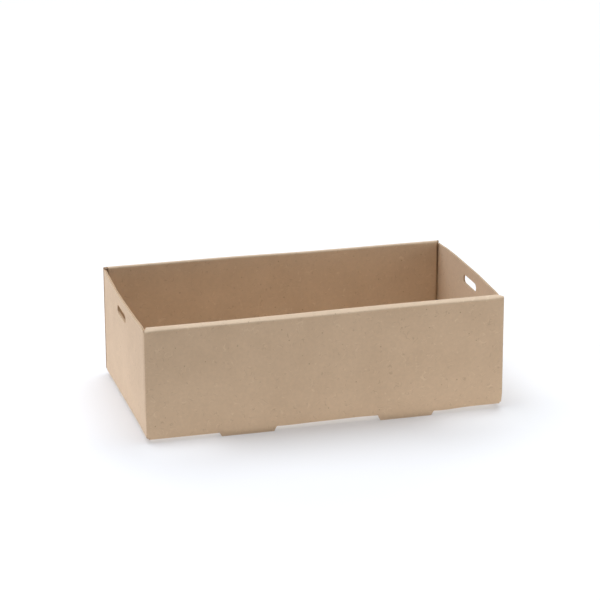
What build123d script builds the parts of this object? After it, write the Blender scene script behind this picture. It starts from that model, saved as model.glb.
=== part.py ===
from build123d import *
import math
import os

os.makedirs("parts", exist_ok=True)

# An open tray folded from one die-cut sheet of brown single-wall board.
# X runs along the tray, Y across it and Z up. The origin is under the middle, at the tips of the feet.
# All sizes are in millimetres. Heights are measured from the underside of the base.

# Board
board = 1.5                     # thickness of the sheet
fold_inside = 0.2               # inside radius of every fold
ply_gap = 0.25                  # air between plies that lie on each other

# Tray
tray_length = 260.0             # over the raw ends of the long walls
tray_width = 150.0              # over the outer faces of the long walls

# Rolled-over long walls
outer_crease_height = 79.5      # outer top crease, on the mid-plane of the board
inner_crease_height = 81.0      # inner top crease, on the mid-plane of the board
top_strip_width = 6.0           # outer face to inner face at the top
end_step_top = 3.0              # the inner wall stops this far short of the outer one, at its crease
end_step_bottom = 3.6           # and this far at its lower edge

# End walls
end_wall_height = 79.0
end_wall_bow = 1.8              # how far the middle of the raw top edge bulges outwards
grip_length = 29.0
grip_height = 6.5
grip_below_top = 8.0            # raw top edge to the top of the grip slot

# Corner flaps
flap_length = 46.0              # from the outer face of the end wall
flap_below_strip = 0.5          # air under the top strip
flap_taper = 2.0                # how much lower the free end is
flap_corner = 4.0               # chamfer of the free corners

# Feet, and the slots that they are cut from
foot_spacing = 115.8            # between the centres of the two feet of a wall
foot_root_width = 42.8          # at the fold
foot_tip_width = 37.7
slot_clearance = 0.2            # inner face of the inner wall to the inner edge of a slot

# Locking tabs
tab_side_clearance = 0.6        # between a tab and its slot, at each side
tab_lead = 1.2                  # chamfer of a tab's lower corners
tab_above_feet = 1.5            # the tabs stop this far above the tips of the feet

cut_overrun = 2.0               # how far a cut runs past what it cuts

# The sheet's mid-plane and faces across the tray
fold_outside = fold_inside + board
fold_middle = fold_inside + board / 2
half_length = tray_length / 2
half_width = tray_width / 2
outer_wall_y = half_width - board / 2
flap_face_y = half_width - board - ply_gap
flap_back_y = flap_face_y - board
inner_wall_foot_y = flap_back_y - ply_gap - board / 2
inner_wall_top_y = half_width - top_strip_width + board / 2
tray_inside_y = half_width - top_strip_width

# Where the folds end and the flat panels start
base_edge_x = half_length - fold_outside
base_edge_y = half_width - fold_outside
corner_y = flap_face_y - fold_outside

# A foot is the tongue that its slot leaves behind when the wall is folded up. It is as long as the slot is deep,
# measured along the sheet, so it reaches further down than the base by what the fold doesn't take up.
slot_inner_y = inner_wall_foot_y - board / 2 - slot_clearance
fold_arc = math.pi / 2 * fold_middle
base_underside = fold_arc + base_edge_y - slot_inner_y - fold_outside

# Heights above the tips of the feet
base_top = base_underside + board
wall_start = base_underside + fold_outside
loose_edge_z = base_top + ply_gap
outer_crease_z = base_underside + outer_crease_height
inner_crease_z = base_underside + inner_crease_height
end_top_z = base_underside + end_wall_height
strip_slope = (inner_crease_z - outer_crease_z) / (outer_wall_y - inner_wall_top_y)
strip_half_depth = board / 2 * math.hypot(1, strip_slope)
strip_over_flap_z = outer_crease_z + strip_slope * (outer_wall_y - flap_face_y) - strip_half_depth
flap_top_z = strip_over_flap_z - flap_below_strip


def prism(outline, plane, near, far):
    """A straight block of an outline, from one distance to another along the plane's normal."""
    face = make_face(Polyline(*outline, close=True))
    return extrude(plane.offset(near) * face, amount=far - near)


def sheet_along_x(line, length):
    """Board of one length along X, whose mid-plane follows a line of (y, z) points."""
    section = trace(line, line_width=board)
    return extrude(Plane.YZ * section, amount=length / 2, both=True)


def fold_section(centre, start_angle):
    """The section of a square fold, a quarter of a ring, drawn about its centre."""
    return trace(CenterArc(centre, fold_middle, start_angle, 90), line_width=board)


def on_both_ends(shapes):
    """The shapes at the +X end and their mirror images at the other end."""
    return shapes + [mirror(shape, about=Plane.YZ) for shape in shapes]


def on_both_sides(shapes):
    """The shapes at the -Y side and their mirror images at the +Y side."""
    return shapes + [mirror(shape, about=Plane.XZ) for shape in shapes]


def at_both_feet(shape):
    """Copies of a shape that is drawn at X = 0, at the two feet of a long wall."""
    return [Pos(X=side * foot_spacing / 2) * shape for side in (-1, 1)]


def leaning_y(z):
    """Y of the inner wall's mid-plane, which leans from its foot to the wider top strip."""
    climb = (z - loose_edge_z) / (inner_crease_z - loose_edge_z)
    return -inner_wall_foot_y + climb * (inner_wall_foot_y - inner_wall_top_y)


def base_panel():
    """The base with the folds along its long edges, and the four slots."""
    front_fold = CenterArc((-base_edge_y, wall_start), fold_middle, 180, 90)
    back_fold = CenterArc((base_edge_y, wall_start), fold_middle, 270, 90)
    middle = Line(front_fold @ 1, back_fold @ 0)
    panel = sheet_along_x([front_fold, middle, back_fold], 2 * base_edge_x)
    slot_outline = [
        (-foot_root_width / 2, -half_width),
        (foot_root_width / 2, -half_width),
        (foot_tip_width / 2, -slot_inner_y),
        (-foot_tip_width / 2, -slot_inner_y),
    ]
    slot = prism(slot_outline, Plane.XY, base_underside - cut_overrun, wall_start + cut_overrun)
    for cut in on_both_sides(at_both_feet(slot)):
        panel = panel - cut
    return panel


def long_wall():
    """The outer wall, the top strip and the inner wall of the -Y side, with the ends trimmed."""
    corners = [
        (leaning_y(loose_edge_z), loose_edge_z),
        (-inner_wall_top_y, inner_crease_z),
        (-outer_wall_y, outer_crease_z),
        (-outer_wall_y, wall_start),
    ]
    wall = sheet_along_x(FilletPolyline(*corners, radius=fold_middle), tray_length)
    beyond = half_length + cut_overrun
    crease_end = half_length - end_step_top
    lower_end = half_length - end_step_bottom
    mitre_outline = [
        (half_length, board - half_width),
        (crease_end, -inner_wall_top_y),
        (crease_end, cut_overrun - tray_inside_y),
        (beyond, cut_overrun - tray_inside_y),
        (beyond, board - half_width),
    ]
    mitre = prism(mitre_outline, Plane.XY, loose_edge_z - cut_overrun, inner_crease_z + cut_overrun)
    taper_outline = [
        (crease_end, flap_top_z),
        (lower_end, loose_edge_z),
        (lower_end, loose_edge_z - cut_overrun),
        (beyond, loose_edge_z - cut_overrun),
        (beyond, flap_top_z),
    ]
    taper = prism(taper_outline, Plane.XZ, tray_inside_y - cut_overrun, flap_face_y)
    for cut in on_both_ends([mitre, taper]):
        wall = wall - cut
    return wall


def locking_tab():
    """A tab on the lower edge of the inner wall, drawn at X = 0, that goes down through a slot."""
    half_tab = foot_tip_width / 2 - tab_side_clearance
    tab_line = Line((leaning_y(tab_above_feet), tab_above_feet), (leaning_y(loose_edge_z), loose_edge_z))
    tab = sheet_along_x(tab_line, 2 * half_tab)
    outline = [
        (-half_tab, base_top + cut_overrun),
        (half_tab, base_top + cut_overrun),
        (half_tab, tab_above_feet + tab_lead),
        (half_tab - tab_lead, tab_above_feet),
        (tab_lead - half_tab, tab_above_feet),
        (-half_tab, tab_above_feet + tab_lead),
    ]
    return tab & prism(outline, Plane.XZ, tray_inside_y - cut_overrun, half_width)


def foot():
    """A trapezoid foot in the plane of the outer wall, drawn at X = 0."""
    outline = [
        (-foot_root_width / 2, wall_start),
        (foot_root_width / 2, wall_start),
        (foot_tip_width / 2, 0),
        (-foot_tip_width / 2, 0),
    ]
    return prism(outline, Plane.XZ, half_width - board, half_width)


def end_wall_outline(z, bow):
    """The end wall's section at a height, with its middle pushed outwards by the bow."""
    inside_x = half_length - board
    outer = Bezier((half_length, -corner_y, z), (half_length + 2 * bow, 0, z), (half_length, corner_y, z))
    inner = Bezier((inside_x, corner_y, z), (inside_x + 2 * bow, 0, z), (inside_x, -corner_y, z))
    return make_face([outer, Line(outer @ 1, inner @ 0), inner, Line(inner @ 1, outer @ 0)])


def end_wall():
    """The single end wall at +X with its grip slot and the fold along the base."""
    wall = loft([end_wall_outline(wall_start, 0), end_wall_outline(end_top_z, end_wall_bow)], ruled=True)
    grip_middle = end_top_z - grip_below_top - grip_height / 2
    grip_face = Plane.YZ * Pos(0, grip_middle) * SlotOverall(grip_length, grip_height)
    grip_start = half_length - board - cut_overrun
    grip = extrude(Pos(X=grip_start) * grip_face, amount=board + end_wall_bow + 2 * cut_overrun)
    fold = fold_section((base_edge_x, wall_start), -90)
    return [wall - grip, extrude(Plane.XZ * fold, amount=corner_y, both=True)]


def corner_flap():
    """The flap at the +X end of the -Y side, with the upright fold that joins it to the end wall."""
    fold = fold_section((base_edge_x, -corner_y), -90)
    upright_fold = extrude(Plane.XY.offset(loose_edge_z) * fold, amount=flap_top_z - loose_edge_z)
    free_x = half_length - flap_length
    free_top_z = flap_top_z - flap_taper
    outline = [
        (base_edge_x, loose_edge_z),
        (base_edge_x, flap_top_z),
        (free_x + flap_corner, free_top_z),
        (free_x, free_top_z - flap_corner),
        (free_x, loose_edge_z + flap_corner),
        (free_x + flap_corner, loose_edge_z),
    ]
    return [upright_fold, prism(outline, Plane.XZ, flap_back_y, flap_face_y)]


def folded_tray():
    """All panels of the sheet joined at their folds into one solid."""
    side_pieces = [long_wall()] + at_both_feet(foot()) + at_both_feet(locking_tab())
    corner_pieces = on_both_ends(corner_flap())
    panels = on_both_sides(side_pieces + corner_pieces) + on_both_ends(end_wall())
    return base_panel().fuse(*panels).clean()


tray = folded_tray()
export_step(tray, "parts/tray.step")
print("feet reach below the base by", round(base_underside, 3), "mm")
print("solids", len(tray.solids()), "valid", tray.is_valid, "size", tray.bounding_box().size)
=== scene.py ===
import math
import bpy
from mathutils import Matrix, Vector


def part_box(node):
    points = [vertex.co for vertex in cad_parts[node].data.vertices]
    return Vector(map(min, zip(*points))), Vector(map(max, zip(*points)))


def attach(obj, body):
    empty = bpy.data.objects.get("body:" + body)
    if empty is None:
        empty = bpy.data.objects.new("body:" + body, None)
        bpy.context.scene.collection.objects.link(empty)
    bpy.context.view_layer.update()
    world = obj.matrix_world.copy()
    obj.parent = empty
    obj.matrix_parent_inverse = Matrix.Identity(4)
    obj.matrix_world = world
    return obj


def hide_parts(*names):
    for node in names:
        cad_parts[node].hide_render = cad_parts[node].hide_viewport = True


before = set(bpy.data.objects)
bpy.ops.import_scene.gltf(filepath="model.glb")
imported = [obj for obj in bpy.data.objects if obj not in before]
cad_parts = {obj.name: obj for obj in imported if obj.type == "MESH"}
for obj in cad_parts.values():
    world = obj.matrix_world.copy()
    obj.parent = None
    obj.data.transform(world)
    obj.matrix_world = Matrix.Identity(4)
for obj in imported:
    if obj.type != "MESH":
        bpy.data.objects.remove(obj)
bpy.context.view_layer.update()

from types import SimpleNamespace

import bmesh
import bpy
from mathutils import Matrix, Vector

bl_info = {
    "name": "Cardboard tray",
    "version": (1, 0, 0),
    "blender": (4, 5, 0),
    "location": "3D View > Sidebar > Tray",
    "description": "Folds an open tray from one sheet of corrugated board, in a plain studio",
    "category": "Object",
}

MM = 0.001
NODE = "tray"
BODY = "root"
NODE_LOW, NODE_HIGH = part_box(NODE)

# Names of the piece and of the floor
PIECE = "folded_tray"
FLOOR = "floor"

# Names of the values that the sheet stores at its points
ACROSS_FLUTES = "across_flutes"
ACROSS_BOARD = "across_board"

TOUCH = 0.01 * MM               # places that are closer than this are the same place
CUT_THRESHOLD = 0.001 * MM      # a cut takes a point that is this close, and adds none
SEAM_THRESHOLD = 0.005 * MM     # the mirrored quarters are joined where they are this close
DOUBLES_THRESHOLD = 0.004 * MM  # points that are this close are made one
GRIP_CORNERS = 32               # corners of the full circle that the grip slot's ends are cut with
SMOOTH_BELOW = math.radians(35)     # faces that meet at a smaller angle are shaded as one

# The camera's sensor, the picture that the focal length is given for, and how far the camera sees
SENSOR_WIDTH_MM = 36
PICTURE_WIDTH_PX = 600
VIEW_END_M = 50


# Sizes, colours and studio settings that a user would change

def length(name, description, millimetres):
    """A length property whose default is given in millimetres."""
    return bpy.props.FloatProperty(
        name=name, description=description, default=millimetres * MM, unit="LENGTH", precision=4)


def angle(name, description, degrees):
    """An angle property whose default is given in degrees."""
    return bpy.props.FloatProperty(
        name=name, description=description, default=math.radians(degrees), subtype="ANGLE")


def number(name, description, value):
    """A plain number, such as the strength of a lamp."""
    return bpy.props.FloatProperty(name=name, description=description, default=value, precision=4)


def hex_colour(name, description, value):
    """A colour property that holds an sRGB hex value."""
    return bpy.props.StringProperty(name=name, description=description, default=value)


class TraySizes(bpy.types.PropertyGroup):
    board: length("Board", "Thickness of the sheet", 1.5)
    fold_inside: length("Fold radius", "Inside radius of every fold", 0.2)
    ply_gap: length("Ply gap", "Air between plies that lie on each other", 0.25)
    tray_length: length("Length", "Over the raw ends of the long walls", 260)
    outer_crease: length("Outer crease", "Its mid-plane above the underside of the base", 79.5)
    inner_crease: length("Inner crease", "Its mid-plane above the underside of the base", 81)
    strip_width: length("Top strip", "Rolled-over wall at the top, outer to inner face", 6)
    step_top: length("End step, top", "How far the inner wall stops short at its crease", 3)
    step_bottom: length("End step, bottom", "How far it stops short at its lower edge", 3.6)
    end_height: length("End wall height", "Underside of the base to the raw top edge", 79)
    grip_length: length("Grip length", "Length of the grip slot", 29)
    grip_height: length("Grip height", "Height of the grip slot", 6.5)
    grip_below_top: length("Grip below top", "Raw top edge to the top of the grip slot", 8)
    flap_length: length("Flap length", "Corner flap from the end wall's outer face", 46)
    flap_below_strip: length("Flap below strip", "Air from a corner flap to the top strip", 0.5)
    flap_taper: length("Flap taper", "How much lower the free end of a corner flap is", 2)
    flap_corner: length("Flap corner", "Chamfer of the free corners of a corner flap", 4)
    foot_spacing: length("Foot spacing", "Between the centres of the two feet of a wall", 115.8)
    foot_root: length("Foot root", "Width of a foot at the fold", 42.8)
    foot_tip: length("Foot tip", "Width of a foot at its tip", 37.7)
    slot_clearance: length("Slot clearance", "Inner wall's face to the slot's inner edge", 0.2)
    tab_side: length("Tab side", "Clearance at each side of a locking tab", 0.6)
    tab_lead: length("Tab lead", "Chamfer of a tab's lower corners", 1.2)
    tab_above_feet: length("Tab above feet", "How far above the feet's tips the tabs stop", 1.5)
    cut_spacing: length("Cut spacing", "Between the cuts that let the board bend softly", 6.5)
    fold_steps: bpy.props.IntProperty(
        name="Fold steps", description="Facets across each fold", default=6, min=2)


class BoardLook(bpy.types.PropertyGroup):
    liner: hex_colour("Liner", "Brown kraft liner in plain light", "#DAC3AA")
    liner_cloud: hex_colour("Liner clouds", "Slightly darker clouds in the liner", "#D5BEA5")
    speck: hex_colour("Specks", "Bark specks in the recycled fibre", "#8F7252")
    fibre: hex_colour("Fibres", "Pale long fibres on the surface", "#E6D2BA")
    cut_paper: hex_colour("Cut paper", "Raw edges of the liners and of the flutes", "#D0B59C")
    hollow: hex_colour("Flute hollow", "Shade inside the open flutes", "#A98D6E")
    flute_pitch: length("Flute pitch", "Wave length of the fluted paper", 3.2)


class StudioSettings(bpy.types.PropertyGroup):
    azimuth: angle("Azimuth", "Camera's turn about the tray", -15.08)
    elevation: angle("Elevation", "Camera's height above the horizon", 18.14)
    roll: angle("Roll", "Camera's turn about its own axis", -0.25)
    distance: length("Distance", "Camera to the middle of the base, along the view", 1815.7)
    aim_up: length("Aim", "How far above the middle of the base the camera looks", 63.15)
    focal_px: number("Focal length", "In pixels of a picture 600 pixels wide", 2474)
    floor_side: length("Floor", "Side of the square floor", 12000)
    floor_seen: hex_colour("Floor, as seen", "Colour of the paper on the floor", "#E1E0E2")
    floor_bounce: hex_colour("Floor bounce", "Its colour as it lights the tray", "#B7B3AE")
    glow_tint: hex_colour("Glow tint", "Tint of the floor's own light, as seen", "#F6FBFF")
    fill_tint: hex_colour("Fill tint", "Tint of the floor's own light on the tray", "#FFEEDC")
    floor_glow: number("Floor glow", "Floor's own light as seen, away from the tray", 0.195)
    # Lower than the floor glow, so the floor shows darker round the tray: a painted soft shadow
    painted_shadow_glow: number("Glow at the tray", "Floor's own light as seen, near the tray", 0.103)
    floor_fill: number("Floor fill", "Strength of the floor's own light on the tray", 0.25)
    surroundings: hex_colour("Surroundings", "Colour of the world round the studio", "#FFFFFF")
    fill: number("Fill", "Strength of the light that the surroundings give", 0.02)
    overhead: number("Overhead", "Strength of the wide soft light above and behind", 3.7)
    overhead_spread: angle("Overhead spread", "Angle that the overhead light fills", 75)
    left_panel: number("Left panel", "Soft panel at the left, in watts", 4.2)
    front_card: number("Front card", "Reflecting card at the front right, in watts", 1.65)
    floor_card: number("Floor card", "Reflecting card that lies in front, in watts", 0.022)
    side_card: number("Side card", "Reflecting card that lies at the left, in watts", 0.0115)
    under_card: number("Under card", "Keeps the floor under the tray pale, in watts", 0.05)
    corner_cards: number("Corner cards", "Over the floor at the front, in watts each", 0.0026)


def layout():
    """The driving sizes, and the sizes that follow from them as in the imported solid."""
    size = bpy.context.scene.tray_sizes
    at = SimpleNamespace()
    at.fold_middle = size.fold_inside + size.board / 2
    at.fold_outside = size.fold_inside + size.board
    at.half_length = size.tray_length / 2
    at.half_width = NODE_HIGH.y
    at.bow = NODE_HIGH.x - at.half_length
    at.wall_y = size.board / 2 - at.half_width
    at.flap_y = at.wall_y + size.board + size.ply_gap
    at.inner_foot_y = at.flap_y + size.board + size.ply_gap
    at.inner_top_y = size.strip_width - size.board / 2 - at.half_width
    at.base_edge_x = at.half_length - at.fold_outside
    at.base_edge_y = at.fold_outside - at.half_width
    at.end_x = at.base_edge_x + at.fold_middle
    at.corner_y = at.flap_y + at.fold_middle
    at.slot_inner_y = at.inner_foot_y + size.board / 2 + size.slot_clearance
    fold_arc = math.pi / 2 * at.fold_middle
    at.base_underside = fold_arc + at.slot_inner_y - at.base_edge_y - at.fold_outside
    at.base_z = at.base_underside + size.board / 2
    at.wall_start = at.base_underside + at.fold_outside
    at.loose_edge_z = at.base_underside + size.board + size.ply_gap
    at.outer_crease_z = at.base_underside + size.outer_crease
    at.inner_crease_z = at.base_underside + size.inner_crease
    at.end_top_z = at.base_underside + size.end_height
    strip_rise = at.inner_crease_z - at.outer_crease_z
    at.strip_angle = math.atan2(strip_rise, at.inner_top_y - at.wall_y)
    strip_half_depth = size.board / 2 / math.cos(at.strip_angle)
    rise_over_flap = math.tan(at.strip_angle) * (size.board / 2 + size.ply_gap)
    at.flap_top_z = at.outer_crease_z + rise_over_flap - strip_half_depth - size.flap_below_strip
    at.grip_z = at.end_top_z - size.grip_below_top - size.grip_height / 2
    at.foot_x = size.foot_spacing / 2
    at.half_root = size.foot_root / 2
    at.half_tip = size.foot_tip / 2
    at.half_tab = at.half_tip - size.tab_side
    return size, at


# Modelling helpers

def near(value, target, tolerance=TOUCH):
    """Whether a value is at its target."""
    return abs(value - target) < tolerance


def select(test, kind="edges"):
    """In edit mode, selects just the edges or faces whose corners all pass the test."""
    bpy.ops.mesh.select_all(action="DESELECT")
    mesh = bpy.context.edit_object.data
    for element in getattr(bmesh.from_edit_mesh(mesh), kind):
        if all(test(corner.co) for corner in element.verts):
            element.select_set(True)
    bmesh.update_edit_mesh(mesh)


def move_points(test, shift):
    """In edit mode, moves the points that pass the test by shift(point)."""
    mesh = bpy.context.edit_object.data
    for point in bmesh.from_edit_mesh(mesh).verts:
        if test(point.co):
            point.co += shift(point.co)
    bmesh.update_edit_mesh(mesh)


def extrude(vector):
    """Extends the sheet from the selected edges."""
    bpy.ops.mesh.extrude_edges_move(TRANSFORM_OT_translate={"value": vector})


def bend(centre, axis, turn):
    """Bends the selected edges round a fold. A positive turn goes against the right-hand rule."""
    steps = bpy.context.scene.tray_sizes.fold_steps
    bpy.ops.mesh.spin(steps=steps, angle=turn, center=centre, axis=axis)


def cut(point, normal, **settings):
    """Cuts the selected faces with a plane, and clears one side if it is told to."""
    square_to = Vector(normal).normalized()
    bpy.ops.mesh.bisect(plane_co=point, plane_no=square_to, threshold=CUT_THRESHOLD, **settings)


def cut_at(axis, places):
    """Cuts everything square to an axis at each place."""
    normal = Vector((axis == "x", axis == "y", axis == "z"))
    for place in places:
        bpy.ops.mesh.select_all(action="SELECT")
        cut(normal * place, normal)


def between(first, last, spacing):
    """Evenly spaced places between two ends, about as far apart as the spacing."""
    count = max(2, round((last - first) / spacing))
    return [first + (last - first) * step / count for step in range(1, count)]


def apply_modifier(piece, kind, **settings):
    """Adds a modifier with its settings, and applies it."""
    modifier = piece.modifiers.new(kind.title(), kind)
    for name, value in settings.items():
        setattr(modifier, name, value)
    bpy.ops.object.modifier_apply(modifier=modifier.name)


# One quarter of the sheet's mid-plane, for the end at +X and the side at -Y

def start_with_outer_wall(at):
    """The flat outer wall, cut where the foot, the tab and the end of the base begin."""
    top = at.outer_crease_z - at.fold_middle * math.tan((math.pi / 2 - at.strip_angle) / 2)
    bpy.ops.object.select_all(action="DESELECT")
    bpy.ops.mesh.primitive_plane_add(
        size=1,
        location=(at.half_length / 2, at.wall_y, (at.wall_start + top) / 2),
        rotation=(math.pi / 2, 0, 0))
    piece = bpy.context.object
    piece.name = piece.data.name = PIECE
    piece.scale = (at.half_length, top - at.wall_start, 1)
    bpy.ops.object.transform_apply(location=True, rotation=True, scale=True)
    bpy.ops.object.mode_set(mode="EDIT")
    bpy.ops.mesh.select_mode(type="EDGE")
    cut_at("x", [at.foot_x - at.half_root, at.foot_x - at.half_tab, at.foot_x + at.half_tab,
                 at.foot_x + at.half_root, at.base_edge_x])
    return piece, top


def roll_over(at, wall_top):
    """Folds the top strip and the inner wall from the top of the outer wall."""
    along = Vector((0, math.cos(at.strip_angle), math.sin(at.strip_angle)))
    below = Vector((0, math.sin(at.strip_angle), -math.cos(at.strip_angle)))
    outer_crease = Vector((0, at.wall_y, at.outer_crease_z))
    inner_crease = Vector((0, at.inner_top_y, at.inner_crease_z))
    down = Vector((0, at.inner_foot_y, at.loose_edge_z)) - inner_crease
    outer_reach = at.outer_crease_z - wall_top
    inner_turn = at.strip_angle + math.atan2(-down.z, down.y)
    inner_reach = at.fold_middle * math.tan(inner_turn / 2)
    select(lambda co: near(co.z, wall_top))
    bend((0, at.wall_y + at.fold_middle, wall_top), (1, 0, 0), math.pi / 2 - at.strip_angle)
    extrude(along * ((inner_crease - outer_crease).length - outer_reach - inner_reach))
    strip_end = inner_crease - along * inner_reach
    bend(strip_end + below * at.fold_middle, (1, 0, 0), inner_turn)
    extrude(down.normalized() * (down.length - inner_reach))
    return down.normalized()


def trim_rolled_ends(size, at):
    """Mitres the end of the top strip and tapers the end of the inner wall."""
    crease_end = at.half_length - size.step_top
    lower_end = at.half_length - size.step_bottom
    mitre_y = size.board - at.half_width
    mitre_normal = (at.inner_top_y - mitre_y, size.step_top, 0)

    def at_lower_end(co):
        return co.x > crease_end and co.y > at.flap_y and near(co.z, at.loose_edge_z)

    select(lambda co: co.y > at.wall_y + TOUCH, "faces")
    cut((at.half_length, mitre_y, 0), mitre_normal, clear_outer=True)
    move_points(at_lower_end, lambda co: Vector((lower_end - co.x, 0, 0)))


def fold_out_feet(size, at):
    """Extrudes the foot down in the plane of the outer wall and narrows its tip."""
    narrowing = size.foot_tip / size.foot_root - 1

    def at_root(co):
        on_fold = near(co.z, at.wall_start) and near(co.y, at.wall_y)
        return on_fold and abs(co.x - at.foot_x) < at.half_root + TOUCH

    select(at_root)
    extrude((0, 0, -at.wall_start))
    move_points(lambda co: near(co.z, 0), lambda co: Vector(((co.x - at.foot_x) * narrowing, 0, 0)))


def fold_base(at):
    """Folds the base inwards on both sides of the foot, and joins it again behind the slot."""

    def beside_foot(co):
        on_fold = near(co.z, at.wall_start) and near(co.y, at.wall_y)
        outside = abs(co.x - at.foot_x) > at.half_root - TOUCH
        return on_fold and outside and co.x < at.base_edge_x + TOUCH

    def at_slot_side(co):
        beside = near(abs(co.x - at.foot_x), at.half_root)
        return beside and co.y > at.wall_y + TOUCH and co.z < at.wall_start

    def narrow_slot(co):
        share = (co.y - at.wall_y) / (at.slot_inner_y - at.wall_y)
        narrowing = math.copysign(at.half_root - at.half_tip, at.foot_x - co.x)
        return Vector((narrowing * share, 0, 0))

    select(beside_foot)
    bend((0, at.base_edge_y, at.wall_start), (1, 0, 0), -math.pi / 2)
    extrude((0, at.slot_inner_y - at.base_edge_y, 0))
    move_points(at_slot_side, narrow_slot)
    bpy.ops.mesh.select_all(action="DESELECT")
    bpy.ops.mesh.select_mode(type="VERT")
    mesh = bpy.context.edit_object.data
    for point in bmesh.from_edit_mesh(mesh).verts:
        beside = near(abs(point.co.x - at.foot_x), at.half_tip)
        if beside and near(point.co.y, at.slot_inner_y):
            point.select_set(True)
    bmesh.update_edit_mesh(mesh)
    bpy.ops.mesh.edge_face_add()
    bpy.ops.mesh.select_mode(type="EDGE")
    select(lambda co: near(co.y, at.slot_inner_y) and near(co.z, at.base_z))
    extrude((0, -at.slot_inner_y, 0))


def fold_end_wall(at):
    """Folds the end wall up from the end of the base."""

    def at_base_end(co):
        on_edge = near(co.x, at.base_edge_x) and near(co.z, at.base_z)
        return on_edge and co.y > at.corner_y - TOUCH

    select(lambda co: near(co.z, at.base_z), "faces")
    cut((0, at.corner_y, 0), (0, 1, 0))
    select(at_base_end)
    bend((at.base_edge_x, 0, at.wall_start), (0, 1, 0), math.pi / 2)
    extrude((0, 0, at.flap_top_z - at.wall_start))
    extrude((0, 0, at.end_top_z - at.flap_top_z))


def fold_corner_flap(size, at):
    """Folds the corner flap from the upright edge of the end wall, and cuts its free corners."""
    free_x = at.half_length - size.flap_length
    free_top = at.flap_top_z - size.flap_taper
    slope = size.flap_taper / (at.base_edge_x - free_x - size.flap_corner)

    def at_upright_edge(co):
        beside = near(co.x, at.end_x) and near(co.y, at.corner_y)
        return beside and at.wall_start - TOUCH < co.z < at.flap_top_z + TOUCH

    def at_free_top(co):
        return near(co.x, free_x) and near(co.y, at.flap_y) and near(co.z, at.flap_top_z)

    def on_flap(co):
        in_reach = co.x < at.base_edge_x + TOUCH and co.z < at.flap_top_z + TOUCH
        return in_reach and near(co.y, at.flap_y)

    select(at_upright_edge)
    bend((at.base_edge_x, at.corner_y, 0), (0, 0, 1), math.pi / 2)
    extrude((free_x - at.base_edge_x, 0, 0))
    move_points(at_free_top, lambda co: Vector((0, 0, -slope * (at.base_edge_x - free_x))))
    upper_corner = (free_top - size.flap_corner, 1)
    lower_corner = (at.wall_start + size.flap_corner, -1)
    for corner_z, outwards in (upper_corner, lower_corner):
        select(on_flap, "faces")
        cut((free_x, 0, corner_z), (-1, 0, outwards), clear_outer=True)


def extend_locking_tab(size, at, down):
    """Extends the inner wall through the slot by a tab with chamfered corners."""
    lean = 0.2 * MM     # more than the inner wall leans over the length of a tab
    chamfer_z = size.tab_above_feet + size.tab_lead

    def at_tab_root(co):
        return near(co.z, at.loose_edge_z) and abs(co.x - at.foot_x) < at.half_tab + TOUCH

    def on_tab(co):
        return co.z < at.loose_edge_z + TOUCH and near(co.y, at.inner_foot_y, lean)

    select(at_tab_root)
    extrude(down * ((at.loose_edge_z - size.tab_above_feet) / -down.z))
    for side in (-1, 1):
        select(on_tab, "faces")
        cut((at.foot_x + side * at.half_tab, 0, chamfer_z), (side, 0, -1), clear_outer=True)


def cut_grip_slot(size, at):
    """Cuts half of the grip slot, a long hole with round ends, at the middle of the tray."""
    radius = size.grip_height / 2
    round_y = radius - size.grip_length / 2
    overrun = 2 * size.board
    start_x = at.end_x - overrun
    past_middle = 5     # stretches the inner half of the circle past the middle of the tray

    def stretch(co):
        side = 0 if near(co.z, at.grip_z) else math.copysign(radius, co.z - at.grip_z)
        return Vector((0, past_middle * (co.y - round_y), at.grip_z + side - co.z))

    def in_slot(co):
        across = math.hypot(max(0, round_y - co.y), co.z - at.grip_z)
        return co.x > start_x - TOUCH and across < radius + 2 * TOUCH

    bpy.ops.mesh.select_all(action="DESELECT")
    bpy.ops.mesh.primitive_circle_add(
        vertices=GRIP_CORNERS,
        radius=radius,
        location=(start_x, round_y, at.grip_z),
        rotation=(0, math.pi / 2, 0))
    move_points(lambda co: near(co.x, start_x) and co.y > round_y + TOUCH, stretch)
    extrude((2 * overrun, 0, 0))
    select(lambda co: in_slot(co) and not near(co.x, at.end_x), "faces")
    bpy.ops.mesh.intersect(mode="SELECT_UNSELECT", separate_mode="NONE", solver="EXACT")
    select(in_slot, "faces")
    bpy.ops.mesh.delete(type="FACE")


def cut_for_bending(size, at):
    """Cuts the panels into a net, so that they can bend softly."""
    below_flap_slope = at.flap_top_z - 2 * size.flap_taper
    cut_at("x", between(0, at.base_edge_x, size.cut_spacing))
    cut_at("y", between(at.slot_inner_y + size.board, 0, size.cut_spacing))
    cut_at("z", between(at.wall_start, below_flap_slope, size.cut_spacing))


def bow_end_wall(at):
    """Pushes the middle of the end wall's raw top edge outwards."""

    def bow(co):
        height = (co.z - at.wall_start) / (at.end_top_z - at.wall_start)
        return Vector((at.bow * height * (1 - (co.y / at.corner_y) ** 2), 0, 0))

    move_points(lambda co: near(co.x, at.end_x) and co.z > at.wall_start, bow)


def mark_flutes(piece, at):
    """Stores how far each point is across the flutes, measured along the sheet."""
    slack = 0.1 * MM    # how far a point may be off its panel
    places = piece.data.attributes.new(ACROSS_FLUTES, "FLOAT", "POINT")
    for point in piece.data.vertices:
        co = point.co
        on_end_wall = co.x > at.base_edge_x + slack and co.y > at.corner_y - TOUCH
        on_flap = near(co.y, at.flap_y, slack) and co.z < at.flap_top_z + TOUCH
        if on_flap or (on_end_wall and co.y < at.corner_y):
            place = at.corner_y + co.x - at.base_edge_x
        elif on_end_wall:
            place = co.y
        else:
            place = co.z - co.y
        places.data[point.index].value = place


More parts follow.
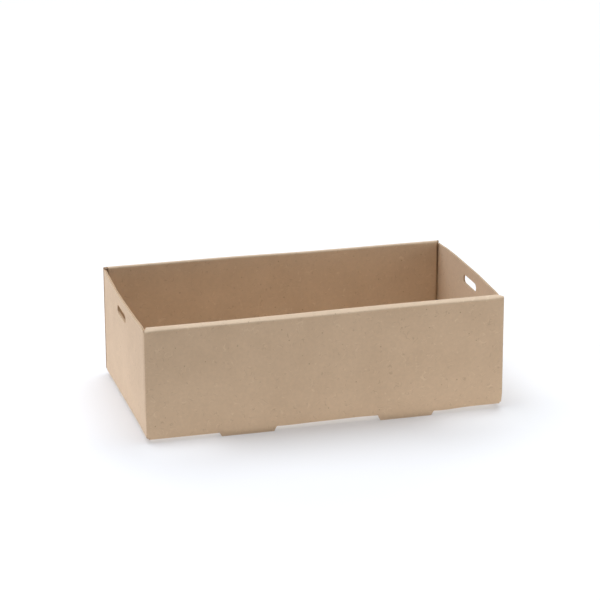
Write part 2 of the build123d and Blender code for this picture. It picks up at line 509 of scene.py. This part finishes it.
def unfold_to_whole_tray(piece):
    """Mirrors the quarter to the whole sheet, closes the seams and turns all faces outwards."""
    apply_modifier(
        piece, "MIRROR", use_axis=(True, True, False), use_clip=True,
        merge_threshold=SEAM_THRESHOLD)
    bpy.ops.object.mode_set(mode="EDIT")
    bpy.ops.mesh.select_all(action="SELECT")
    bpy.ops.mesh.remove_doubles(threshold=DOUBLES_THRESHOLD)
    bpy.ops.mesh.normals_make_consistent(inside=False)
    bpy.ops.object.mode_set(mode="OBJECT")
    wall = min(piece.data.polygons, key=lambda face: face.center.y)
    if wall.normal.y > 0:
        bpy.ops.object.mode_set(mode="EDIT")
        bpy.ops.mesh.select_all(action="SELECT")
        bpy.ops.mesh.flip_normals()
        bpy.ops.object.mode_set(mode="OBJECT")


def give_thickness(piece, size):
    """Gives the sheet its thickness, and stores which of its two faces each point is on."""
    count = len(piece.data.vertices)
    apply_modifier(
        piece, "SOLIDIFY", thickness=size.board, offset=0, use_even_offset=True,
        use_quality_normals=True, use_rim=True, material_offset_rim=1)
    across = piece.data.attributes.new(ACROSS_BOARD, "FLOAT", "POINT")
    for point in piece.data.vertices:
        across.data[point.index].value = 0 if point.index < count else 1


def keep_in_box(piece):
    """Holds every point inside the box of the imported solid."""
    for point in piece.data.vertices:
        limits = zip(point.co, NODE_LOW, NODE_HIGH)
        point.co = Vector([min(max(place, low), high) for place, low, high in limits])


# The small unevenness of a tray folded by hand, in millimetres. The front wall is at -Y.

HALF_WIDTH_MM = 75          # from the middle of the tray to the outer face of a long wall

# Waves of the fold along the base: height, and middle and reach along the tray
FOLD_WAVES = ((0.4, 22, 14), (-0.4, -28, 12), (-0.9, 86, 12))
FOLD_END_SAG = 1            # how far the same fold sags at its left end
BACK_FOLD_SHARE = 0.45      # how much of both the back wall has

# How much lower one end of a long wall is than the other
FRONT_INNER_DROP = 1.15     # the rolled-over part of the front wall, at its left end
FRONT_OUTER_DROP = 1.2      # the outer crease of the front wall, at its left end
BACK_DROP = 0.8             # the back wall, at its right end

# The ends of the outer creases
END_DROOP = 0.15            # how far both droop at the left end
FRONT_END_DROOP = 0.55      # how much more the front wall's does
FRONT_END_LIFT = 0.5        # how far it is lifted at the right end

# Soft dents in a long wall: depth, middle and reach along the tray, middle and reach in height
FRONT_DENTS = ((0.3, -32, 42, 46, 26), (0.22, 66, 34, 34, 22))
BACK_DENTS = ((0.35, 20, 50, 50, 26),)

# Places where the end walls are pressed in: depth, and middle and reach across the tray
END_DENTS = ((0.4, 50, 9), (0.25, -30, 16))
END_RIPPLE = 0.2            # how deep the ripple in the raw top edge of an end wall is
END_RIPPLE_REACH = 9        # over how much of the edge the ripple turns by one radian

CORNER_RUBBED = 0.6         # how far the lower corners at the right are rubbed off
SLIP_LEFT = 0.6             # how far the front wall's rolled-over part has slipped at its left end
SLIP_RIGHT = 1.4            # and at its right end


def hump(value, middle, reach):
    """1 at the middle, and softly down to nothing about two reaches away."""
    return math.exp(-((value - middle) / reach) ** 2)


def humps(value, waves):
    """The sum of several humps, each given by its height, middle and reach."""
    return sum(height * hump(value, middle, reach) for height, middle, reach in waves)


def dents_at(x, z, dents):
    """How deep a long wall is pressed in at a place."""
    return sum(depth * hump(x, middle_x, reach_x) * hump(z, middle_z, reach_z)
               for depth, middle_x, reach_x, middle_z, reach_z in dents)


def rise(value, start, end):
    """0 before the start, 1 after the end, and a soft slope between."""
    share = min(1, max(0, (value - start) / (end - start)))
    return share * share * (3 - 2 * share)


def settle_by(co):
    """How far a point of the sheet has moved from its true place. The point, the move and the
    places between which the move fades are all in millimetres."""
    x, y, z = co
    front = rise(-y, -1, 1)
    at_long_wall = rise(abs(y), 45, 70)
    rolled = rise(HALF_WIDTH_MM - abs(y), 1.5, 5) * rise(abs(y), 60, 68)
    on_walls = rise(abs(y), 66, 68)
    # the fold along the base waves between the feet, and sags outside them, most of all at one end
    arch = humps(x, FOLD_WAVES) - FOLD_END_SAG * rise(-x, 60, 76)
    low = rise(z, 0.5, 4) * (1 - rise(z, 5, 32))
    dz = (BACK_FOLD_SHARE + (1 - BACK_FOLD_SHARE) * front) * arch * at_long_wall * low
    # both creases of the front wall are lower at one end, and those of the back wall at the other
    in_long_wall = 1 - rise(abs(x), 128.4, 129) * (1 - rise(abs(y), 71, 72))
    high = front * rise(z, 30, 82) * in_long_wall
    dz -= FRONT_INNER_DROP * rise(-x, -60, 95) * high * rolled
    dz -= FRONT_OUTER_DROP * rise(-x, -100, 60) * high * (1 - rolled) * on_walls
    dz -= BACK_DROP * (1 - front) * rise(x, -45, 35) * rise(abs(y), 55, 69) * rise(z, 50, 82)
    # the outer crease droops at one end and is lifted at the other
    outer = (1 - rolled) * on_walls * rise(z, 73, 82)
    dz -= (END_DROOP + FRONT_END_DROOP * front) * rise(-x, 121, 130) * outer
    dz += FRONT_END_LIFT * front * rise(x, 122, 130) * outer
    # the long walls are pressed in softly, all plies together
    dents = front * dents_at(x, z, FRONT_DENTS) + (1 - front) * dents_at(x, z, BACK_DENTS)
    dy = -math.copysign(dents, y) * on_walls
    # a lower corner is rubbed round, and the rolled-over part has slipped along the wall
    dx = -CORNER_RUBBED * rise(x, 129, 130) * rise(abs(y), 73.2, 74) * (1 - rise(z, 5, 10))
    slip = SLIP_LEFT * rise(-x, 90, 128) + SLIP_RIGHT * rise(x, 90, 128)
    dx -= rolled * front * slip * rise(z, 6, 30)
    # the end walls are pressed in where a hand closed the corner
    at_end = rise(abs(x), 127.5, 129) * (1 - rise(abs(y), 66, 70))
    dx -= math.copysign(at_end, x) * humps(y, END_DENTS) * hump(z, 45, 30)
    ripple = 0.5 + 0.5 * math.sin(y / END_RIPPLE_REACH)
    dz -= at_end * rise(z, 70, 82) * END_RIPPLE * ripple
    return Vector((dx, dy, dz))


def settle(piece):
    """Moves every point of the sheet by what a hand leaves uneven."""
    for point in piece.data.vertices:
        point.co += settle_by(point.co / MM) * MM


class TRAY_OT_folded_tray(bpy.types.Operator):
    """Fold the whole tray from one sheet, in place of the plain solid"""
    bl_idname = "tray.folded_tray"
    bl_label = "Folded tray"

    def execute(self, context):
        size, at = layout()
        piece, wall_top = start_with_outer_wall(at)
        down = roll_over(at, wall_top)
        trim_rolled_ends(size, at)
        fold_out_feet(size, at)
        fold_base(at)
        fold_end_wall(at)
        fold_corner_flap(size, at)
        extend_locking_tab(size, at, down)
        cut_for_bending(size, at)
        cut_grip_slot(size, at)
        bow_end_wall(at)
        bpy.ops.object.mode_set(mode="OBJECT")
        mark_flutes(piece, at)
        unfold_to_whole_tray(piece)
        settle(piece)
        piece.data.materials.append(kraft_liner())
        piece.data.materials.append(cut_corrugated_edge())
        give_thickness(piece, size)
        keep_in_box(piece)
        bpy.ops.object.shade_smooth_by_angle(angle=SMOOTH_BELOW)
        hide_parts(NODE)
        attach(piece, BODY)
        return {"FINISHED"}


# Materials

# Sizes of the paper's patterns in millimetres, from one feature to the next
CLOUD_SIZE = 24
FLOC_SIZE = 2.6
FIBRE_SIZE = 7
FIBRE_BREAK_SIZE = 3.5
SPECK_SPACING = 8
FUZZ_SIZE = 0.7

# Heights of the paper's relief in millimetres
WASHBOARD_HEIGHT = 0.006
FLOC_HEIGHT = 0.03
FIBRE_HEIGHT = 0.02
CUT_EDGE_HEIGHT = 0.15

# Each kind of fibre follows a thin contour line of one noise: the line's level, half its width,
# and how strongly the fibre shows
PALE_FIBRES = (0.54, 0.014, 0.5)
BARK_FIBRES = (0.45, 0.012, 0.22)

# The wave of the fluted paper in a cut edge, as shares of the board's thickness
FLUTE_MIDDLE = 0.5
FLUTE_SWING = 0.34

# The inputs of a Mix node that mixes colours
MIX_A, MIX_B = 6, 7


def linear(hex_text):
    """An sRGB hex colour as linear red, green, blue and alpha, by the standard's own curve."""
    channels = [int(hex_text[place:place + 2], 16) / 255 for place in (1, 3, 5)]
    return [c / 12.92 if c <= 0.04045 else ((c + 0.055) / 1.055) ** 2.4 for c in channels] + [1]


def add_node(tree, kind, inputs, **settings):
    """Adds a node with its settings, and sets or links its inputs. A node that is given as an input
    stands for its first output that is in use."""
    node = tree.nodes.new(kind)
    for name, value in settings.items():
        setattr(node, name, value)
    for socket, value in inputs.items():
        if isinstance(value, bpy.types.Node):
            value = next(output for output in value.outputs if output.enabled)
        if isinstance(value, bpy.types.NodeSocket):
            tree.links.new(value, node.inputs[socket])
        else:
            node.inputs[socket].default_value = value
    return node


def new_material(name):
    """An empty material and its node tree."""
    material = bpy.data.materials.new(name)
    material.use_nodes = True
    material.node_tree.nodes.clear()
    return material, material.node_tree


def per_metre(millimetres):
    """The texture scale whose features are about this many millimetres apart."""
    return 1 / (millimetres * MM)


def flute_wave(tree, look):
    """The wave of the fluted paper along the sheet, between -1 and 1."""
    across = add_node(tree, "ShaderNodeAttribute", {}, attribute_name=ACROSS_FLUTES)
    phase = add_node(tree, "ShaderNodeMath", {
        0: across.outputs["Fac"], 1: 2 * math.pi / look.flute_pitch}, operation="MULTIPLY")
    return add_node(tree, "ShaderNodeMath", {0: phase}, operation="SINE")


def kraft_liner():
    """Brown kraft paper, machine made and glued to the flutes: matt, with soft clouds, pale fibres
    and a few dark specks, and a washboard of the flutes that only shows in grazing light."""
    look = bpy.context.scene.board_look
    material, tree = new_material("kraft_liner_paper")
    place = add_node(tree, "ShaderNodeTexCoord", {}).outputs["Object"]
    clouds = add_node(tree, "ShaderNodeTexNoise", {
        "Vector": place, "Scale": per_metre(CLOUD_SIZE), "Detail": 3, "Roughness": 0.55})
    cloud_share = add_node(tree, "ShaderNodeMapRange", {
        0: clouds, "From Min": 0.35, "From Max": 0.65})
    flocs = add_node(tree, "ShaderNodeTexNoise", {
        "Vector": place, "Scale": per_metre(FLOC_SIZE), "Detail": 4, "Roughness": 0.6})
    floc_tone = add_node(tree, "ShaderNodeMapRange", {
        0: flocs, "From Min": 0.3, "From Max": 0.7, "To Min": 0.965, "To Max": 1.035})
    fibres = add_node(tree, "ShaderNodeTexNoise", {
        "Vector": place, "Scale": per_metre(FIBRE_SIZE), "Detail": 1, "Distortion": 0.8})
    breaks = add_node(tree, "ShaderNodeTexNoise", {
        "Vector": place, "Scale": per_metre(FIBRE_BREAK_SIZE), "Detail": 1})
    short = add_node(tree, "ShaderNodeMapRange", {0: breaks, "From Min": 0.53, "From Max": 0.64})
    shares = []
    for level, half_width, strength in (PALE_FIBRES, BARK_FIBRES):
        line = add_node(tree, "ShaderNodeMath", {
            0: fibres, 1: level, 2: half_width}, operation="COMPARE")
        broken = add_node(tree, "ShaderNodeMath", {0: line, 1: short}, operation="MULTIPLY")
        shares.append(add_node(tree, "ShaderNodeMath", {
            0: broken, 1: strength}, operation="MULTIPLY"))
    fibre_share, bark_share = shares
    specks = add_node(tree, "ShaderNodeTexVoronoi", {
        "Vector": place, "Scale": per_metre(SPECK_SPACING)})
    round_share = add_node(tree, "ShaderNodeMapRange", {
        0: specks, "From Min": 0.035, "From Max": 0.08, "To Min": 0.5, "To Max": 0})
    speck_share = add_node(tree, "ShaderNodeMath", {
        0: bark_share, 1: round_share}, operation="MAXIMUM")
    colour = linear(look.liner_cloud)
    for share, tint in (
            (cloud_share, look.liner), (fibre_share, look.fibre), (speck_share, look.speck)):
        colour = add_node(tree, "ShaderNodeMix", {
            0: share, MIX_A: colour, MIX_B: linear(tint)}, data_type="RGBA")
    paper = add_node(tree, "ShaderNodeMix", {
        0: 1, MIX_A: colour, MIX_B: floc_tone}, data_type="RGBA", blend_type="MULTIPLY")
    relief = add_node(tree, "ShaderNodeMath", {
        0: flute_wave(tree, look), 1: WASHBOARD_HEIGHT, 2: 0}, operation="MULTIPLY_ADD")
    grain = add_node(tree, "ShaderNodeMath", {
        0: flocs, 1: FLOC_HEIGHT, 2: relief}, operation="MULTIPLY_ADD")
    height = add_node(tree, "ShaderNodeMath", {
        0: fibre_share, 1: FIBRE_HEIGHT, 2: grain}, operation="MULTIPLY_ADD")
    bump = add_node(tree, "ShaderNodeBump", {"Height": height, "Strength": 1, "Distance": MM})
    rough = add_node(tree, "ShaderNodeMapRange", {
        0: flocs, "From Min": 0.3, "From Max": 0.7, "To Min": 0.84, "To Max": 0.92})
    surface = add_node(tree, "ShaderNodeBsdfPrincipled", {
        "Base Color": paper, "Roughness": rough, "Normal": bump, "Specular IOR Level": 0.3})
    add_node(tree, "ShaderNodeOutputMaterial", {"Surface": surface})
    return material


def cut_corrugated_edge():
    """The die-cut edge of single-wall board: two liners with the wave of the fluted paper between
    them, and shaded hollows in the flutes, all fibrous and matt."""
    look = bpy.context.scene.board_look
    material, tree = new_material("cut_corrugated_edge")
    place = add_node(tree, "ShaderNodeTexCoord", {}).outputs["Object"]
    board = add_node(tree, "ShaderNodeAttribute", {}, attribute_name=ACROSS_BOARD).outputs["Fac"]
    middle = add_node(tree, "ShaderNodeMath", {
        0: flute_wave(tree, look), 1: FLUTE_SWING, 2: FLUTE_MIDDLE}, operation="MULTIPLY_ADD")
    offset = add_node(tree, "ShaderNodeMath", {0: board, 1: middle}, operation="SUBTRACT")
    away = add_node(tree, "ShaderNodeMath", {0: offset}, operation="ABSOLUTE")
    fluted = add_node(tree, "ShaderNodeMapRange", {
        0: away, "From Min": 0.1, "From Max": 0.17, "To Min": 1, "To Max": 0})
    from_face = add_node(tree, "ShaderNodeMath", {0: board, 1: 0.5}, operation="PINGPONG")
    liners = add_node(tree, "ShaderNodeMapRange", {
        0: from_face, "From Min": 0.13, "From Max": 0.18, "To Min": 1, "To Max": 0})
    paper = add_node(tree, "ShaderNodeMath", {0: fluted, 1: liners}, operation="MAXIMUM")
    fuzz = add_node(tree, "ShaderNodeTexNoise", {
        "Vector": place, "Scale": per_metre(FUZZ_SIZE), "Detail": 3})
    tone = add_node(tree, "ShaderNodeMapRange", {
        0: fuzz, "From Min": 0.3, "From Max": 0.7, "To Min": 0.9, "To Max": 1.06})
    drawn = add_node(tree, "ShaderNodeMix", {
        0: paper, MIX_A: linear(look.hollow), MIX_B: linear(look.cut_paper)}, data_type="RGBA")
    fuzzy = add_node(tree, "ShaderNodeMix", {
        0: 1, MIX_A: drawn, MIX_B: tone}, data_type="RGBA", blend_type="MULTIPLY")
    height = add_node(tree, "ShaderNodeMath", {
        0: fuzz, 1: 0.3, 2: paper}, operation="MULTIPLY_ADD")
    bump = add_node(tree, "ShaderNodeBump", {
        "Height": height, "Strength": 0.6, "Distance": CUT_EDGE_HEIGHT * MM})
    surface = add_node(tree, "ShaderNodeBsdfPrincipled", {
        "Base Color": fuzzy, "Roughness": 0.95, "Normal": bump, "Specular IOR Level": 0.2})
    add_node(tree, "ShaderNodeOutputMaterial", {"Surface": surface})
    return material


def seen_directly(tree):
    """1 for camera, glossy and transmission rays, and 0 for the rays that light the tray."""
    path = add_node(tree, "ShaderNodeLightPath", {}).outputs
    direct = add_node(tree, "ShaderNodeMath", {
        0: path["Is Camera Ray"], 1: path["Is Glossy Ray"]}, operation="MAXIMUM")
    return add_node(tree, "ShaderNodeMath", {
        0: direct, 1: path["Is Transmission Ray"]}, operation="MAXIMUM")


# The oval of painted shadow on the floor, in metres, at whose edge the glow is halfway from the one
# near the tray to the one further away. It changes between these two shares of the oval's size.
PAINTED_SHADOW_CENTRE = (-0.03, -0.03, 0)
PAINTED_SHADOW_HALF_AXES = (0.16, 0.2, 1)
PAINTED_SHADOW_FADE = (0.75, 1.25)


def white_floor():
    """Matt white studio paper, which reads as plain white where nothing shades it. It glows less in
    an oval round the tray, which paints a soft shadow there on top of the shadow that the lamps
    cast."""
    studio = bpy.context.scene.studio
    material, tree = new_material("matt_white_studio_paper")
    bounce = add_node(tree, "ShaderNodeBsdfDiffuse", {"Color": linear(studio.floor_bounce)})
    fill = add_node(tree, "ShaderNodeEmission", {
        "Color": linear(studio.fill_tint), "Strength": studio.floor_fill})
    shaded = add_node(tree, "ShaderNodeBsdfDiffuse", {"Color": linear(studio.floor_seen)})
    place = add_node(tree, "ShaderNodeTexCoord", {}).outputs["Object"]
    from_centre = add_node(tree, "ShaderNodeVectorMath", {
        0: place, 1: PAINTED_SHADOW_CENTRE}, operation="SUBTRACT")
    in_half_axes = add_node(tree, "ShaderNodeVectorMath", {
        0: from_centre, 1: PAINTED_SHADOW_HALF_AXES}, operation="DIVIDE")
    away = add_node(tree, "ShaderNodeVectorMath", {0: in_half_axes}, operation="LENGTH")
    # The glow falls to its lower value inside the oval: a painted soft shadow round the tray
    strength = add_node(tree, "ShaderNodeMapRange", {
        0: away, "From Min": PAINTED_SHADOW_FADE[0], "From Max": PAINTED_SHADOW_FADE[1],
        "To Min": studio.painted_shadow_glow, "To Max": studio.floor_glow}, interpolation_type="SMOOTHSTEP")
    glow = add_node(tree, "ShaderNodeEmission", {
        "Color": linear(studio.glow_tint), "Strength": strength})
    lit = add_node(tree, "ShaderNodeAddShader", {0: bounce, 1: fill})
    shown = add_node(tree, "ShaderNodeAddShader", {0: shaded, 1: glow})
    surface = add_node(tree, "ShaderNodeMixShader", {0: seen_directly(tree), 1: lit, 2: shown})
    add_node(tree, "ShaderNodeOutputMaterial", {"Surface": surface})
    return material


def add_surroundings(studio):
    """A plain white world that fills the shadows, and shows as white itself."""
    world = bpy.data.worlds.new("plain_white_surroundings")
    world.use_nodes = True
    tree = world.node_tree
    tree.nodes.clear()
    white = linear(studio.surroundings)
    fill = add_node(tree, "ShaderNodeBackground", {"Color": white, "Strength": studio.fill})
    shown = add_node(tree, "ShaderNodeBackground", {"Color": white, "Strength": 1})
    surface = add_node(tree, "ShaderNodeMixShader", {0: seen_directly(tree), 1: fill, 2: shown})
    add_node(tree, "ShaderNodeOutputWorld", {"Surface": surface})
    bpy.context.scene.world = world


def place_lamp(lamp, place, back):
    """Puts a lamp at a place, with its back to a direction."""
    holder = bpy.data.objects.new(lamp.name, lamp)
    holder.location = place
    holder.rotation_euler = Vector(back).to_track_quat("Z", "Y").to_euler()
    bpy.context.scene.collection.objects.link(holder)
    return holder


def add_panel(name, power, tint, sides, place, back):
    """A soft rectangular panel that shines away from its back, and can't be seen itself."""
    panel = bpy.data.lights.new(name, "AREA")
    panel.shape = "RECTANGLE"
    panel.size, panel.size_y = sides
    panel.energy = power
    panel.color = tint
    holder = place_lamp(panel, place, back)
    holder.visible_camera = False
    return holder


def light_only(panel, receiver):
    """Lets a panel light one object and nothing else."""
    only = bpy.data.collections.new("lit_by_" + panel.name)
    only.objects.link(bpy.data.objects[receiver])
    panel.light_linking.receiver_collection = only


def add_lamps(studio):
    """A wide soft light above and behind the tray, a panel at its left, three cards that pass some
    light on to the tray but not to the floor, and three that light only the floor, one under the
    tray and one at each of its front corners."""
    overhead = bpy.data.lights.new("overhead_light", "SUN")
    overhead.energy = studio.overhead
    overhead.color = (0.94, 0.975, 1)
    overhead.angle = studio.overhead_spread
    above_behind = Vector((0, 0.28, 1))
    place_lamp(overhead, 2 * above_behind, above_behind)
    up = (0, 0, 1)
    down = (0, 0, -1)
    left = Vector((-1, 0.25, 0.2)).normalized()
    aside = Vector((0.67, -0.73, 0.12)).normalized() * 0.75
    in_front = (0, -0.108, 0.001)
    at_left = (-0.165, 0, 0.001)
    below = (0, 0, 0.0018)
    left_corner = (-0.103, -0.087, 0.02)
    right_corner = (0.103, -0.087, 0.02)
    cool = (0.9, 0.96, 1)
    # name, power, tint, sides, place, back, and the only object that it lights, in watts and metres
    panels = (
        ("left_panel", studio.left_panel, (0.9, 0.91, 1), (0.62, 0.8), left, left, None),
        ("front_card", studio.front_card, (1, 0.92, 0.84), (0.5, 0.5), aside, aside, PIECE),
        ("floor_card", studio.floor_card, (1, 0.95, 0.88), (0.3, 0.06), in_front, down, PIECE),
        ("side_card", studio.side_card, (1, 0.98, 0.96), (0.06, 0.16), at_left, down, PIECE),
        ("under_card", studio.under_card, (0.85, 0.95, 1), (0.256, 0.148), below, up, FLOOR),
        ("left_corner_card", studio.corner_cards, cool, (0.05, 0.03), left_corner, up, FLOOR),
        ("right_corner_card", studio.corner_cards, cool, (0.05, 0.03), right_corner, up, FLOOR),
    )
    for name, power, tint, sides, place, back, receiver in panels:
        panel = add_panel(name, power, tint, sides, place, back)
        if receiver:
            light_only(panel, receiver)


def add_camera(studio):
    """The camera of the photograph, whose picture is square."""
    turn = (Matrix.Rotation(studio.azimuth, 4, "Z")
            @ Matrix.Rotation(math.pi / 2 - studio.elevation, 4, "X")
            @ Matrix.Rotation(studio.roll, 4, "Z"))
    base_middle = Vector((0, 0, layout()[1].base_underside))
    back = turn @ Vector((0, 0, 1))
    up = turn @ Vector((0, 1, 0))
    place = base_middle + back * studio.distance + up * studio.aim_up
    camera = bpy.data.cameras.new("camera")
    camera.sensor_width = SENSOR_WIDTH_MM
    camera.lens = studio.focal_px * SENSOR_WIDTH_MM / PICTURE_WIDTH_PX
    camera.clip_end = VIEW_END_M
    holder = bpy.data.objects.new("camera", camera)
    holder.matrix_world = Matrix.Translation(place) @ turn
    bpy.context.scene.collection.objects.link(holder)
    bpy.context.scene.camera = holder


class TRAY_OT_studio(bpy.types.Operator):
    """Set up the pale floor, the soft light and the camera"""
    bl_idname = "tray.studio"
    bl_label = "Studio"

    def execute(self, context):
        studio = context.scene.studio
        bpy.ops.object.select_all(action="DESELECT")
        bpy.ops.mesh.primitive_plane_add(size=studio.floor_side)
        floor = context.object
        floor.name = floor.data.name = FLOOR
        floor.data.materials.append(white_floor())
        add_surroundings(studio)
        add_lamps(studio)
        add_camera(studio)
        context.scene.view_settings.view_transform = "Standard"
        return {"FINISHED"}


class TRAY_PT_panel(bpy.types.Panel):
    """Sizes, colours and operators of the cardboard tray"""
    bl_idname = "TRAY_PT_panel"
    bl_label = "Cardboard tray"
    bl_space_type = "VIEW_3D"
    bl_region_type = "UI"
    bl_category = "Tray"

    def draw(self, context):
        scene = context.scene
        for groups, operator in (
                ((scene.tray_sizes, scene.board_look), TRAY_OT_folded_tray),
                ((scene.studio,), TRAY_OT_studio)):
            column = self.layout.column()
            for group in groups:
                for name in group.__annotations__:
                    column.prop(group, name)
            column.operator(operator.bl_idname)


CLASSES = (
    TraySizes, BoardLook, StudioSettings, TRAY_OT_folded_tray, TRAY_OT_studio, TRAY_PT_panel)
GROUPS = {"tray_sizes": TraySizes, "board_look": BoardLook, "studio": StudioSettings}


def register():
    for item in CLASSES:
        bpy.utils.register_class(item)
    for name, group in GROUPS.items():
        setattr(bpy.types.Scene, name, bpy.props.PointerProperty(type=group))


def unregister():
    for name in GROUPS:
        delattr(bpy.types.Scene, name)
    for item in reversed(CLASSES):
        bpy.utils.unregister_class(item)


def main():
    register()
    bpy.ops.tray.folded_tray()
    bpy.ops.tray.studio()


if __name__ == "__main__":
    main()
